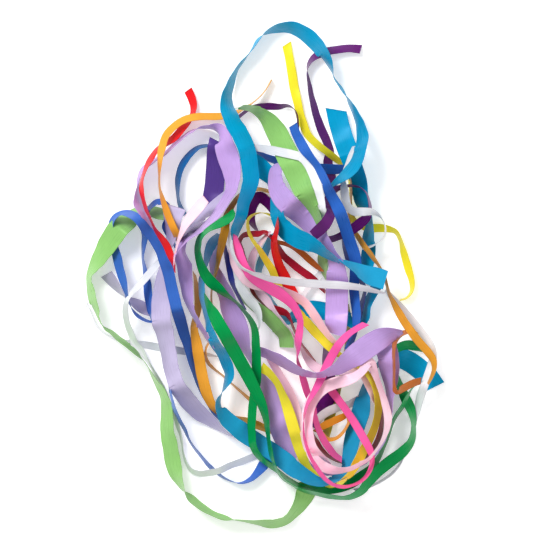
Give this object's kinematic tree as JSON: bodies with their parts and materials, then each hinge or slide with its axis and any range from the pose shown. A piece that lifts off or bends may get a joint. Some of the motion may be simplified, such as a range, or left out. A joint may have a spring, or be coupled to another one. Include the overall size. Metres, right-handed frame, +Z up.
{
  "type": "heap of satin ribbons",
  "caption": "Loose tangled heap of long satin ribbons in many colours and five widths, lying in loops, twists and crossings, with free cut ends.",
  "frame": {"origin": "on the table, at the middle of the heap's outline", "axes": "+Z up from the table, +Y along the heap's longer side towards the large turquoise loop, +X to the right of it seen from above"},
  "size_m": [0.3826, 0.5384, 0.0842],
  "materials": {
    "satin_turquoise": "woven satin, glossy along the ribbon",
    "satin_yellow": "woven satin, glossy along the ribbon",
    "satin_plum": "woven satin, glossy along the ribbon",
    "satin_blue": "woven satin, glossy along the ribbon",
    "satin_navy": "woven satin, glossy along the ribbon",
    "satin_lightgreen": "woven satin, glossy along the ribbon",
    "satin_white": "woven satin, glossy along the ribbon",
    "satin_lavender": "woven satin, glossy along the ribbon",
    "satin_lilac": "woven satin, glossy along the ribbon",
    "satin_violet": "woven satin, glossy along the ribbon",
    "satin_red": "woven satin, glossy along the ribbon",
    "satin_orange": "woven satin, glossy along the ribbon",
    "satin_teal": "woven satin, glossy along the ribbon",
    "satin_lightpink": "woven satin, glossy along the ribbon",
    "satin_emerald": "woven satin, glossy along the ribbon",
    "satin_hotpink": "woven satin, glossy along the ribbon",
    "satin_crimson": "woven satin, glossy along the ribbon",
    "satin_rust": "woven satin, glossy along the ribbon",
    "satin_blush": "woven satin, glossy along the ribbon",
    "satin_olive": "woven satin, glossy along the ribbon"
  },
  "bodies": {
    "root": {"turquoise_loop": "satin_turquoise", "turquoise_cross": "satin_turquoise", "turquoise_under": "satin_turquoise", "turquoise_end": "satin_turquoise", "yellow_top": "satin_yellow", "purple_top": "satin_plum", "purple_arch": "satin_plum", "blue_top": "satin_blue", "navy_right": "satin_navy", "lightgreen_top": "satin_lightgreen", "lightgreen_low": "satin_lightgreen", "white_top": "satin_white", "blue_under": "satin_blue", "lavender_arch": "satin_lavender", "lilac_fold": "satin_lilac", "lavender_inner": "satin_lavender", "violet_back": "satin_violet", "red_left": "satin_red", "orange_arch": "satin_orange", "teal_arch": "satin_teal", "lightgreen_left": "satin_lightgreen", "blue_left": "satin_blue", "blue_low": "satin_blue", "lilac_end": "satin_lilac", "white_left": "satin_white", "white_left_low": "satin_white", "lavender_left": "satin_lilac", "pink_left": "satin_lightpink", "green_inner": "satin_emerald", "green_outer": "satin_emerald", "turquoise_mid": "satin_turquoise", "orange_low": "satin_orange", "orange_mid": "satin_orange", "lavender_mid": "satin_lavender", "navy_mid": "satin_navy", "white_mid": "satin_white", "lightgreen_end": "satin_lightgreen", "hotpink_left": "satin_hotpink", "pink_mid": "satin_lightpink", "yellow_curl": "satin_yellow", "red_mid": "satin_red", "crimson_inner": "satin_crimson", "rust_mid": "satin_rust", "white_band": "satin_white", "lavender_diag": "satin_lavender", "plum_arch": "satin_plum", "white_right": "satin_white", "orange_right": "satin_orange", "white_far_right": "satin_white", "coral_right": "satin_rust", "lavender_right": "satin_lavender", "violet_right": "satin_lavender", "hotpink_loop": "satin_hotpink", "pink_ring": "satin_lightpink", "palepink_mid": "satin_blush", "crimson_ring": "satin_crimson", "white_inside": "satin_white", "orange_ring": "satin_orange", "olive_inside": "satin_olive", "plum_ring": "satin_plum"}
  },
  "joints": []
}
